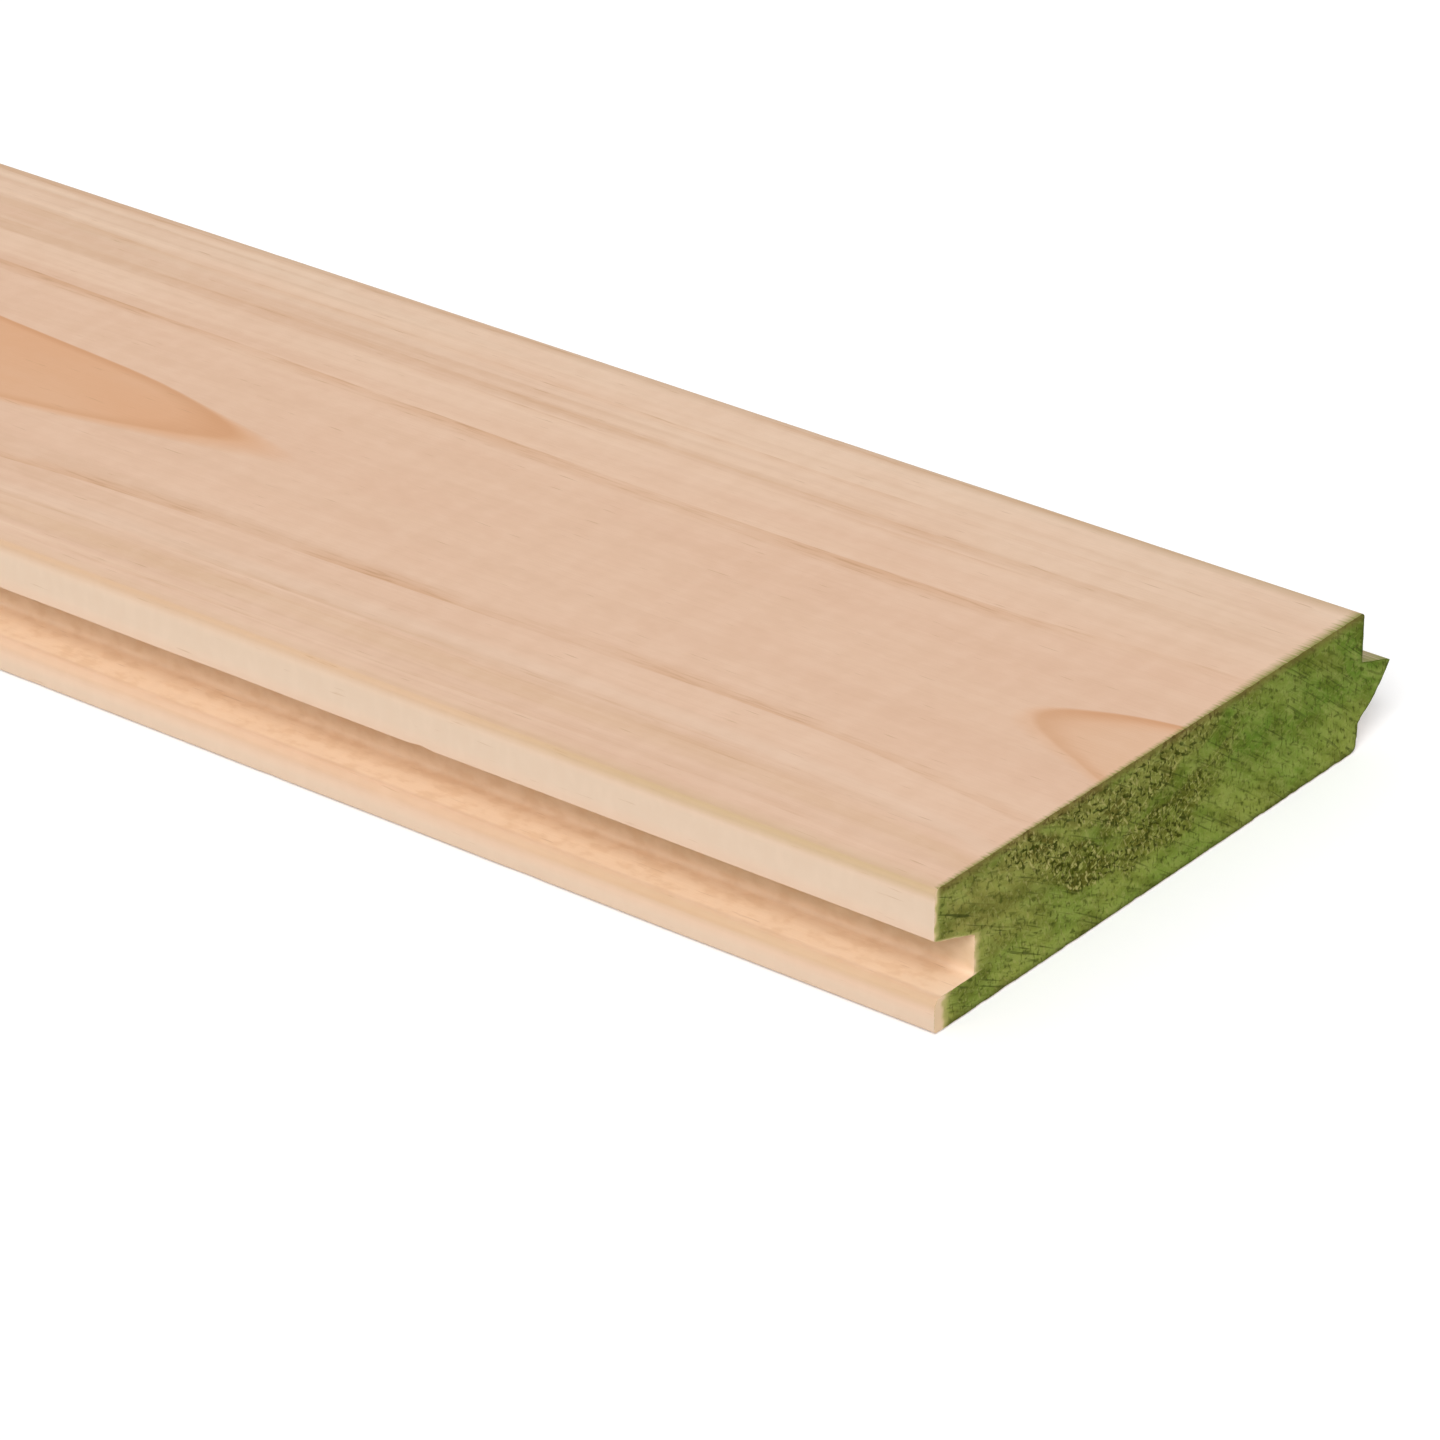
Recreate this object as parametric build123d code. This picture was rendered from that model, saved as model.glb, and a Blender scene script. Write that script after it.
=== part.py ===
"""Tongue-and-groove floorboard: one planed length of softwood, with a tongue worked along one edge
and a groove along the other.

Millimetres. +X runs along the board, +Y points out of the tongue edge and +Z up out of the walking face.
The origin is on the underside, at the middle of the length and of the overall width.
"""

import os

from build123d import *

# Stock
LENGTH = 1800.0
FACE_WIDTH = 112.5  # walking face, from the upper lip to the upper shoulder

# Lips, the walls above and below the groove
UPPER_LIP = 8.5  # thickness at the mouth of the groove
LOWER_LIP = 5.6
LOWER_LIP_SET_BACK = 0.5  # behind the upper lip, so that boards close up along their walking faces
LOWER_LIP_CHAMFER = 0.9  # lead-in at the mouth of the groove

# Tongue
TONGUE_PROJECTION = 8.5  # out of the upper shoulder, which is also how far it reaches into a groove
CHEEK_DROP = 2.6  # fall of the upper cheek, from the root to the tip
NOSE_HEIGHT = 4.7  # from the tip down to the knee of the underside
NOSE_SET_BACK = 4.0  # from the tip in to that knee
LOWER_SHOULDER_SET_BACK = 0.3  # behind the upper shoulder

# Room that the groove leaves around the tongue of the next board
CHEEK_CLEARANCE = 0.2
TIP_CLEARANCE = 1.6
KNEE_CLEARANCE = 2.4
FLANK_CLEARANCE = 0.3  # between the tongue's root and the lead-in

# Rounded corners
FACE_ARRIS = 0.8
LOWER_SHOULDER_ARRIS = 1.2
LOWER_LIP_ARRIS = 0.6
KNEE_RADIUS = 2.0
ROOT_RADIUS = 0.5
GROOVE_RADIUS = 0.5
SHARP = 0.0

# Depths below the walking face
cheek_root_depth = UPPER_LIP + CHEEK_CLEARANCE
tip_depth = cheek_root_depth + CHEEK_DROP
knee_depth = tip_depth + NOSE_HEIGHT
groove_floor_depth = knee_depth + KNEE_CLEARANCE
lead_in_depth = groove_floor_depth + LOWER_LIP_CHAMFER
thickness = groove_floor_depth + LOWER_LIP

# The groove's upper cheek falls at the tongue's slope, as far as the inner wall
groove_depth = TONGUE_PROJECTION + TIP_CLEARANCE
inner_cheek_depth = UPPER_LIP + CHEEK_DROP / TONGUE_PROJECTION * groove_depth

# The tongue's flank runs from the knee back to the lower shoulder, clear of both corners of the lead-in
knee_out = TONGUE_PROJECTION - NOSE_SET_BACK
lead_in_end = LOWER_LIP_SET_BACK + LOWER_LIP_CHAMFER
slope_over_floor = (groove_floor_depth - FLANK_CLEARANCE - knee_depth) / (knee_out - lead_in_end)
slope_over_lip = (lead_in_depth - FLANK_CLEARANCE - knee_depth) / (knee_out - LOWER_LIP_SET_BACK)
flank_slope = min(slope_over_floor, slope_over_lip)
root_depth = knee_depth + flank_slope * (knee_out + LOWER_SHOULDER_SET_BACK)

upper_lip_y = -(FACE_WIDTH + TONGUE_PROJECTION) / 2
upper_shoulder_y = upper_lip_y + FACE_WIDTH


def tongue_side(out, depth):
    """Point of the section, outwards from the upper shoulder and down from the walking face."""
    return (upper_shoulder_y + out, thickness - depth)


def groove_side(inward, depth):
    """Point of the section, inwards from the upper lip and down from the walking face."""
    return (upper_lip_y + inward, thickness - depth)


# Section, clockwise from the walking face's arris over the tongue, each corner with its radius
section_corners = [
    (tongue_side(0, 0), FACE_ARRIS),
    (tongue_side(0, cheek_root_depth), SHARP),
    (tongue_side(TONGUE_PROJECTION, tip_depth), SHARP),
    (tongue_side(knee_out, knee_depth), KNEE_RADIUS),
    (tongue_side(-LOWER_SHOULDER_SET_BACK, root_depth), ROOT_RADIUS),
    (tongue_side(-LOWER_SHOULDER_SET_BACK, thickness), LOWER_SHOULDER_ARRIS),
    (groove_side(LOWER_LIP_SET_BACK, thickness), LOWER_LIP_ARRIS),
    (groove_side(LOWER_LIP_SET_BACK, lead_in_depth), SHARP),
    (groove_side(lead_in_end, groove_floor_depth), SHARP),
    (groove_side(groove_depth, groove_floor_depth), GROOVE_RADIUS),
    (groove_side(groove_depth, inner_cheek_depth), GROOVE_RADIUS),
    (groove_side(0, UPPER_LIP), SHARP),
    (groove_side(0, 0), FACE_ARRIS),
]

with BuildPart() as floorboard:
    with BuildSketch(Plane.YZ):
        with BuildLine():
            FilletPolyline(
                *[point for point, radius in section_corners],
                radius=[radius for point, radius in section_corners],
                close=True,
            )
        make_face()
    extrude(amount=LENGTH / 2, both=True)

os.makedirs("parts", exist_ok=True)
export_step(floorboard.part, "parts/floorboard.step")
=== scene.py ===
"""Looks of the tongue-and-groove floorboard: one planed softwood board whose sawn end is painted green.

The frame is in metres, +X towards the painted end, +Y out of the tongue edge and +Z out of the walking face.
Sizes here are in millimetres, and become metres where the mesh, the camera and the floor are made.
"""

import math

import bpy
import numpy as np
from mathutils import Matrix, Vector


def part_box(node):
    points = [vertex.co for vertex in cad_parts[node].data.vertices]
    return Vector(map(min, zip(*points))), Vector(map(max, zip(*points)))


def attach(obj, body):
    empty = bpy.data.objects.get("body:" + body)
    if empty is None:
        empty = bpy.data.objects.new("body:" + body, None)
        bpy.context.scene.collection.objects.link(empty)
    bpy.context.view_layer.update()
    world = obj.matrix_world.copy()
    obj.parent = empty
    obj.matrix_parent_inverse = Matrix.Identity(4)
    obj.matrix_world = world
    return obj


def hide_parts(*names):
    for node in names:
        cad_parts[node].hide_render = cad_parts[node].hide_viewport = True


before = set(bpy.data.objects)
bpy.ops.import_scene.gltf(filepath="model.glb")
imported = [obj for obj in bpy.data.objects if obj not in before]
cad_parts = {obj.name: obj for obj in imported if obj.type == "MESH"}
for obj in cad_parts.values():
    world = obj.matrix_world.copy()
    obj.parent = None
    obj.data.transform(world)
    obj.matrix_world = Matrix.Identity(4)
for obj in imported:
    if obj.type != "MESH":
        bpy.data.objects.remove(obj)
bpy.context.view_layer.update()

METRE = 0.001

# Section, as the solid has it
FACE_WIDTH = 112.5
UPPER_LIP = 8.5
LOWER_LIP = 5.6
LOWER_LIP_SET_BACK = 0.5
LOWER_LIP_CHAMFER = 0.9
TIP_CLEARANCE = 1.6
CHEEK_CLEARANCE = 0.2
CHEEK_DROP = 2.6
NOSE_HEIGHT = 4.7
NOSE_SET_BACK = 4.0
LOWER_SHOULDER_SET_BACK = 0.3
FLANK_ROOT_HEIGHT = 4.748
FACE_ARRIS = 0.8
LOWER_SHOULDER_ARRIS = 1.2
LOWER_LIP_ARRIS = 0.6
KNEE_RADIUS = 2.0
INNER_RADIUS = 0.5
HANDLED_EDGE = 0.25  # edges that were cut sharp, once handled
STRAIGHT = 0.0

# Grid of the mesh
ARC_POINTS = 9
SIDE_ROWS = (5, 18, 9, 10, 7, 14, 3, 9, 5)  # down each side, between the corners of the section
CHEEK_STRETCH = 2  # number of the stretch that is the tongue's upper cheek
END_COLUMNS = 264  # across an end
FACE_COLUMNS = 44  # across the walking face and the underside
CUT_STATIONS = np.array([0.3, 0.7, 1.3, 2.2])  # in from each end
NEAR_LENGTH = 270.0  # as far in as the photograph reaches
NEAR_STATION = 2.6
FAR_STATIONS = 85
SHARP_ANGLE = 50.0
PLANED, PAINTED, BARE = range(3)  # finishes, by their number on the mesh

# Bake map: the long skin unrolled over most of it, and the two ends side by side above
BAKE_MARGIN = 0.004
BAKE_SKIN = 0.88
BAKE_ENDS_FROM = 0.898
BAKE_ENDS_HEIGHT = 0.098
BAKE_END_WIDTH = 0.488
BAKE_BARE_FROM = 0.508

# Noise of the mesh
NOISE_CELLS = 256
GROOVE_SEED = 11
TONGUE_SEED = 21
PAINTED_SEED = 31
COVER_SEED = 41
BARE_SEED = 51

# Wear of the edges
EDGE_SPREAD = 0.7
EDGE_RUB = 0.10
RUB_SIZE = (6.0, 17.0)  # down the side, and along the board
EDGE_NICK = 0.22
NICK_SIZE = 4.0
NICK_LEVELS = (0.62, 0.95)  # of the noise, where a nick starts and where it is full
GROOVE_EDGES = [1, 2, 6, 7, 8]  # corners that stand out, counted down the side
TONGUE_EDGES = [1, 3, 8]

# Tree that the board was sawn from: its pith runs above the walking face
PITH_SIDE = 52.2  # from the upper lip
PITH_RISE = (  # share of the length from the bare end, and height above the walking face
    (0.0, 28.2), (0.04, 29.6), (0.08, 31.2), (0.16, 32.6), (0.24, 31.2), (0.30, 29.3), (0.34, 28.8),
    (0.38, 29.8), (0.43, 31.5), (0.50, 32.4), (0.56, 30.8), (0.61, 29.0), (0.67, 27.0), (0.74, 25.6),
    (0.80, 25.2), (0.854, 26.0), (0.8667, 27.0), (0.8828, 28.3), (0.9017, 30.1), (0.9167, 30.8),
    (0.945, 31.8), (0.972, 32.1), (0.9883, 30.12), (1.0, 27.9),
)
PITH_DRIFT = (  # share of the length from the bare end, and distance towards the tongue
    (0.0, 0.5), (0.2, -2.5), (0.4, 1.5), (0.6, 3.0), (0.75, 0.5), (0.86, -2.2), (0.9017, 0.0), (0.94, 0.4),
    (0.9883, 1.5), (1.0, 0.3),
)
CURVE_LOWEST = -10.0  # least and most that the two curves above can reach
CURVE_HIGHEST = 40.0
WANDER = {"wander": ((320.0, 45.0, 45.0), 0.0, 1.0)}
WANDER_BY = 0.35  # in and out, by which that noise moves the rings
RING_START = 30.0  # radius of the innermost ring's sharp outer edge
RING_WIDTH = 10.6
RING_EDGE = 0.15  # over which late wood ends
RING_FULL = 0.2  # before its end, where it is darkest
RING_LINES = (  # outer edge of a ring, depth of its late wood and strength of its colour
    (40.6, 2.4, 1.0),
    (48.9, 1.4, 0.35),
    (51.2, 2.0, 0.4),
    (57.3, 1.8, 0.4),
    (66.4, 1.6, 0.6),
    (74.8, 1.6, 0.7),
    (83.0, 1.6, 0.7),
)

# Saw that cut the ends
SAW_RADIUS = 350.0
SAW_SIDE = -134.0  # centre of the blade, from the upper lip
SAW_DEPTH = 315.0  # below the walking face
SAW_PITCH = 2.6  # between the arcs that it left
SAW_DRIFT = 0.5  # of those arcs, as a share of the pitch

# Early wood that the saw tore: where it starts, is full, fades and ends
EARLY_WOOD = (0.0, 0.16, 0.62, 0.92)  # in shares of a ring
TORN_START = 28.4  # radius that those shares are counted from
TORN_SIDES = (8.0, 25.0, 58.0, 86.0)  # from the upper lip
TORN_RADII = (43.5, 48.0)  # where it fades and ends away from the pith
SOFT_ELSEWHERE = 0.15  # how soft it is outside those sides and radii
SOFT_PATCHES = 0.2  # share of its softness that comes in patches and not in rings
HARD_TORN = 0.1  # how much hard wood tears
TEAR_LEVELS = (0.05, 0.6)  # of the noise, where a tear starts and where it is full
END_NOISE = {  # width and height of the blotches, and the number added to the seed
    "wide_wobble": (9.0, 6.0, 0),
    "small_wobble": (3.5, 3.0, 8),
    "patch": (5.0, 3.5, 7),
    "coarse_tear": (1.2, 1.9, 1),
    "fine_tear": (0.6, 0.9, 2),
    "arc_drift": (4.0, 20.0, 6),
    "chip": (1.4, 1.4, 9),
}
RING_WOBBLE = {"wide_wobble": 1.8, "small_wobble": 1.3}
TEARS = {"coarse_tear": 0.55, "fine_tear": 0.6}

# Relief of the ends, in from the end's plane
CUT_DEPTH = 0.03
ARC_DEPTH = 0.03
TEAR_DEPTH = 0.16
SOFT_DEPTH = 0.05
RIM_DEPTH = 0.12  # the most at the rim
RIM_SLOPE = 0.5  # by which that grows inwards
CHIP_DEPTH = 0.10
CHIP_REACH = 0.4
CHIP_LEVELS = (0.1, 0.8)  # of the noise, as for a tear

# Paint on the end, and what crept from it along the faces
COVER_RAG = 0.5
COVER_RAG_SIZE = 1.1
COVER_START = -0.7  # from the margin of bare wood
MARGIN = (-0.1, 0.3, 1.4)  # inside the groove, and what the upper and the lower lip add
MARGIN_FADE = (1.6, -0.5, 1.2)  # past the margin until the paint is full, in the same three
LOWER_LIP_FADE = (-0.5, 0.6)  # about the top of the lower lip
PAINT_CREEP = 0.15
FACE_CREEP = 0.9
FACE_CREEP_GROWS = (0.55, 0.8)  # shares of the walking face between which it doubles
CHEEK_CREEP = 9.0

# Tones of the moulded edges by row, from the walking face's arris down: a paler tone on the lips and the
# tongue side, a warmer tint in the groove and the handled wood of the arrises. The groove side's handled
# rows also hold painted shade under the upper lip, and its warm tint dips as painted shade at the foot of
# the groove's wall.
GROOVE_TONE = (
    (0, 0.0), (5, 0.4), (7, 0.7), (10, 1.0), (17, 1.0), (23, 0.4), (24, 0.0), (66, 0.0), (72, 0.95),
    (76, 0.95), (80, 0.2),
)
TONGUE_TONE = ((0, 0.0), (5, 0.4), (7, 0.7), (10, 1.0), (75, 0.9), (80, 0.2))
# The dip at rows 48 to 50 is painted shade on the corner at the wall's foot, which faces the key light
GROOVE_WARMTH = (
    (0, 0.0), (24, 0.0), (26, 1.0), (46, 1.0), (48, 0.9), (50, 0.9), (53, 1.0), (61, 1.0), (63, 0.1),
    (66, 0.0), (80, 0.0),
)
TONGUE_WARMTH = ((0, 0.0), (80, 0.0))
# Rows 26 to 47, under the upper lip and down the top of the groove's wall, are painted shade
GROOVE_HANDLED_AND_SHADE = (
    (0, 0.45), (2, 1.0), (5, 0.8), (8, 0.0), (24, 0.0), (26, 0.5), (40, 0.55), (44, 0.4), (47, 0.05),
    (49, 0.0), (61, 0.0), (64, 0.5), (66, 0.5), (69, 0.0), (80, 0.0),
)
TONGUE_HANDLED = ((0, 0.6), (2, 1.0), (5, 0.8), (8, 0.0), (29, 0.0), (32, 0.8), (35, 0.0), (80, 0.0))

# Patterns of the planed wood: blotches along the grain and across it both ways, their turn and their detail.
# Its fibres are some hundredths of a millimetre thick, and are drawn coarser so that they show
PLANED_PATTERNS = {
    "fibre": ((30.0, 0.5, 0.5), 0.0, 3.0),
    "streak": ((220.0, 3.2, 3.2), 0.0, 2.0),
    "band": ((300.0, 8.0, 8.0), 0.0, 1.0),
    "cloud": ((45.0, 13.0, 13.0), 0.0, 2.0),
    "mottle": ((3.5, 2.4, 2.4), 0.0, 3.0),
    "ripple": ((2.4, 5.0, 5.0), 0.0, 2.0),
    "patchy": ((45.0, 6.0, 6.0), 0.0, 2.0),
    "dash": ((8.0, 0.6, 0.6), 0.0, 2.0),
    "knife": ((4.5, 80.0, 80.0), 0.0, 1.0),
}
PLANED_FIELDS = ("tone", "warmth", "handled_and_groove_shade", "reach")

# Patterns of the sawn ends: blotches along and across the arcs of the blade, their turn and their detail
SAWN_PATTERNS = {
    "pit": ((1.5, 0.9, 1.0), 10.0, 2.0),
    "fleck": ((1.4, 0.6, 1.0), -50.0, 2.0),
    "fibre": ((1.6, 0.5, 1.0), 55.0, 1.0),
    "hay": ((1.5, 0.6, 1.0), -30.0, 1.0),
    "stroke": ((3.4, 0.8, 1.0), 8.0, 1.0),
    "smear": ((7.0, 1.8, 1.0), 2.0, 1.0),
    "score": ((11.0, 0.45, 1.0), 0.0, 1.0),
    "here": ((12.0, 3.0, 1.0), 0.0, 1.0),
    "patch": ((8.0, 5.0, 1.0), 15.0, 2.0),
    "cloud": ((18.0, 10.0, 1.0), 15.0, 1.0),
}
SAWN_FIELDS = ("torn", "soft", "swing", "blade", "to_tongue", "cover")
SCORED_SWING = (150.0, 185.0)  # along the blade's arc, from the clearest scores to the faintest
BROWNER_SIDE = (-25.0, 5.0)  # across the board, from the brownest paint to the greenest
HIGH_ON_END = (14.0, 19.0)  # up the end, where the paint on soft wood starts to pale and is palest
BARE_RING_DEPTH = 2.0  # of late wood on the bare end, times that on the planed faces
BARE_FIRST_RING = (RING_START - 4.0, RING_START, RING_START, RING_START + RING_EDGE)  # innermost there

# Bumps: their pattern, strength and depth
FIBRE_BUMPS = ("fibre", 0.25, 0.1)
PIT_BUMPS = ("pit", 0.4, 0.15)

# Late wood of the innermost ring on the walking face: a flame, and at the painted end a loop of two arms
FLAME_CHANGES = (160.0, 40.0)  # from the painted end, between the two
FLAME_FROM = (14.0, 28.9)  # radius where the flame starts, and the loop
FLAME_FULL = (31.5, 29.8)  # radius where each of them would be full
FLAME_ARMS = (-14.0, -2.0)  # across the board, from the faint arm to the clear one
FLAME_FADE = 0.75  # over which the faint arm ends
FLAME_LINE = (RING_START - 0.6, RING_START - 0.1, RING_START, RING_START + RING_EDGE)  # dark edge
FAINT_ARM = 0.6  # strength of that edge on the faint arm, as a share of the clear one's
HEART_FROM = (RING_START - 9.0, RING_START - 8.0)  # where the heart inside starts and is full

# Other marks of the planed faces
LINES_FADE = (60.0, 20.0)  # from the painted end, where the lines of the other rings fade
OLIVE_BAND = (49.8, 51.5, 53.0, 55.0)  # radii where a dull band starts, is full, fades and ends
PALE_BAND = (45.0, 46.5, 48.0, 49.6)
BAND_SIDE = (10.0, -20.0)  # across the board, from where both bands are faint to where they are clear
STREAKS_FROM = (18.0, 40.0)  # beside the pith, where streaks start and are full
GREENED_FROM = (95.0, 50.0)  # from the painted end, where handled edges start to green and are greenest

# Floor
FLOOR_SIZE = 60000.0
FLOOR_DROP = 0.3
FLOOR_LIFT = 0.16  # glow that the camera sees of it

# Light
KEY_FROM = (0.36, -0.642, 0.677)
KEY_STRENGTH = 2.67
KEY_SPREAD = 32.0
TOP_FROM = (-0.1, 0.2, 0.97)
TOP_STRENGTH = 0.38
TOP_SPREAD = 80.0
SKY = 0.31
WHITE = (1.0, 1.0, 1.0, 1.0)

# Camera, turned about a point on the walking face
VIEW_FROM_END = 56.2
VIEW_FROM_LIP = 22.3
VIEW_DISTANCE = 957.8
VIEW_AZIMUTH = 37.69
VIEW_ELEVATION = 27.63
VIEW_ROLL = 0.32
LENS = 160.25
SENSOR = 36.0

# Places along, across and up the board
board_low, board_high = (np.array(corner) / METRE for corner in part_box("floorboard"))
bare_x, upper_lip_y = board_low[:2]
painted_x, tip_y, thickness = board_high
length = painted_x - bare_x
shoulder_y = upper_lip_y + FACE_WIDTH
pith_y = upper_lip_y + PITH_SIDE

groove_wall_y = upper_lip_y + tip_y - shoulder_y + TIP_CLEARANCE
mouth_z = thickness - UPPER_LIP
inner_cheek_z = mouth_z - CHEEK_DROP / (tip_y - shoulder_y) * (groove_wall_y - upper_lip_y)
lower_lip_y = upper_lip_y + LOWER_LIP_SET_BACK
lead_in_y = lower_lip_y + LOWER_LIP_CHAMFER
lead_in_z = LOWER_LIP - LOWER_LIP_CHAMFER
tongue_root_z = mouth_z - CHEEK_CLEARANCE
tip_z = tongue_root_z - CHEEK_DROP
knee_y = tip_y - NOSE_SET_BACK
knee_z = tip_z - NOSE_HEIGHT
lower_shoulder_y = shoulder_y - LOWER_SHOULDER_SET_BACK
flank_share = (knee_z - LOWER_LIP) / (knee_z - FLANK_ROOT_HEIGHT)
flank_y = knee_y + flank_share * (lower_shoulder_y - knee_y)

# Corners down the groove side and the tongue side with their radii, in pairs that lie across from each other
groove_corners = [
    (upper_lip_y, thickness, FACE_ARRIS),
    (upper_lip_y, mouth_z, HANDLED_EDGE),
    (groove_wall_y, inner_cheek_z, INNER_RADIUS),
    (groove_wall_y, knee_z, STRAIGHT),
    (groove_wall_y, LOWER_LIP, INNER_RADIUS),
    (lead_in_y, LOWER_LIP, HANDLED_EDGE),
    (lower_lip_y, lead_in_z, HANDLED_EDGE),
    (lower_lip_y, 0.0, LOWER_LIP_ARRIS),
]
tongue_corners = [
    (shoulder_y, thickness, FACE_ARRIS),
    (shoulder_y, tongue_root_z, HANDLED_EDGE),
    (tip_y, tip_z, HANDLED_EDGE),
    (knee_y, knee_z, KNEE_RADIUS),
    (flank_y, LOWER_LIP, STRAIGHT),
    (lower_shoulder_y, FLANK_ROOT_HEIGHT, INNER_RADIUS),
    (lower_shoulder_y, lead_in_z - LOWER_LIP_CHAMFER, STRAIGHT),
    (lower_shoulder_y, 0.0, LOWER_SHOULDER_ARRIS),
]


def ramp(value, start, end):
    """Smooth step: 0 up to start, 1 from end on, and three times the square less twice the cube between."""
    share = np.clip((value - start) / (end - start), 0.0, 1.0)
    return share * share * (3.0 - 2.0 * share)


def between(value, start, full, fading, end):
    """Smooth step up from start to full, and down again from fading to end."""
    return ramp(value, start, full) * (1 - ramp(value, fading, end))


def value_noise(across, along, seed):
    """Noise from -1 to 1: random heights at whole numbers of both places, blended by smooth steps between."""
    heights = np.random.default_rng(seed).uniform(-1.0, 1.0, (NOISE_CELLS, NOISE_CELLS))
    row = np.floor(across).astype(int)
    column = np.floor(along).astype(int)
    down = ramp(across - row, 0.0, 1.0)
    right = ramp(along - column, 0.0, 1.0)
    row, next_row = row % NOISE_CELLS, (row + 1) % NOISE_CELLS
    column, next_column = column % NOISE_CELLS, (column + 1) % NOISE_CELLS
    near = heights[row, column] * (1 - down) + heights[next_row, column] * down
    far = heights[row, next_column] * (1 - down) + heights[next_row, next_column] * down
    return near * (1 - right) + far * right


def rounded_corner(before, corner, after, radius):
    """Arc that rounds a corner: it starts radius times tan(half the turn) ahead of the corner and swings
    through the turn about a centre that lies a radius beside that start."""
    into = (corner - before) / np.linalg.norm(corner - before)
    out = (after - corner) / np.linalg.norm(after - corner)
    turn = math.atan2(into[0] * out[1] - into[1] * out[0], into @ out)
    start = corner - into * radius * math.tan(abs(turn) / 2)
    to_centre = math.copysign(radius, turn) * np.array([-into[1], into[0]])
    angle = np.linspace(0.0, turn, ARC_POINTS)
    swung_y = -to_centre[0] * np.cos(angle) + to_centre[1] * np.sin(angle)
    swung_z = -to_centre[0] * np.sin(angle) - to_centre[1] * np.cos(angle)
    return start + to_centre + np.stack([swung_y, swung_z], axis=1)


def section_side(corners):
    """Rows down one side of the section: the corners with their arcs make one line, and each stretch of it
    between two corners is divided into its number of rows. Also gives how far along the line each row and
    each corner lies."""
    points = np.array([(0.0, thickness)] + [corner[:2] for corner in corners] + [(0.0, 0.0)])
    arcs = [
        rounded_corner(points[number], points[number + 1], points[number + 2], corner[2])
        for number, corner in enumerate(corners)
    ]
    line = np.concatenate(arcs)
    steps = np.linalg.norm(np.diff(line, axis=0), axis=1)
    along = np.concatenate([[0.0], np.cumsum(steps)])
    at_arc = along.reshape(len(corners), ARC_POINTS)
    marks = np.concatenate([at_arc[0, [0, -1]], at_arc[1:-1, ARC_POINTS // 2], at_arc[-1, [0, -1]]])
    stretches = [
        np.linspace(start, end, rows, endpoint=False)
        for start, end, rows in zip(marks, marks[1:], SIDE_ROWS)
    ]
    places = np.concatenate(stretches + [marks[-1:]])
    rows = np.stack([np.interp(places, along, line[:, axis]) for axis in (0, 1)], axis=1)
    return rows, places, marks


def worn_side(corners, edges, stations, inwards, seed):
    """One side of the section at every station, with its outer edges worn. The wear is deepest at an edge,
    falls off as a bell curve along the side, and comes and goes along the board as noise."""
    rows, places, marks = section_side(corners)
    bell = np.exp(-(((places[:, None] - marks[None, edges]) / EDGE_SPREAD) ** 2)).max(axis=1)
    run = np.gradient(rows, axis=0)
    run /= np.linalg.norm(run, axis=1, keepdims=True)
    inward = inwards * np.stack([-run[:, 1], run[:, 0]], axis=1)
    along, down = np.meshgrid(stations, places, indexing="ij")
    rubbed = 0.5 + 0.5 * value_noise(down / RUB_SIZE[0], along / RUB_SIZE[1], seed)
    nicked = ramp(value_noise(down / NICK_SIZE, along / NICK_SIZE, seed + 1), *NICK_LEVELS)
    wear = bell * (EDGE_RUB * rubbed + EDGE_NICK * nicked)
    return rows + wear[:, :, None] * inward


def loop_around(groove_side, tongue_side):
    """Closed loop around the section: along the walking face in even steps, down the tongue side, back along
    the underside and up the groove side."""
    share = np.linspace(0.0, 1.0, FACE_COLUMNS + 1)[:, None]
    face = groove_side[..., :1, :] * (1 - share) + tongue_side[..., :1, :] * share
    underside = groove_side[..., -1:, :] * (1 - share) + tongue_side[..., -1:, :] * share
    parts = [face, tongue_side[..., 1:, :], underside[..., -2::-1, :], groove_side[..., -2:0:-1, :]]
    return np.concatenate(parts, axis=-2)


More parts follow.
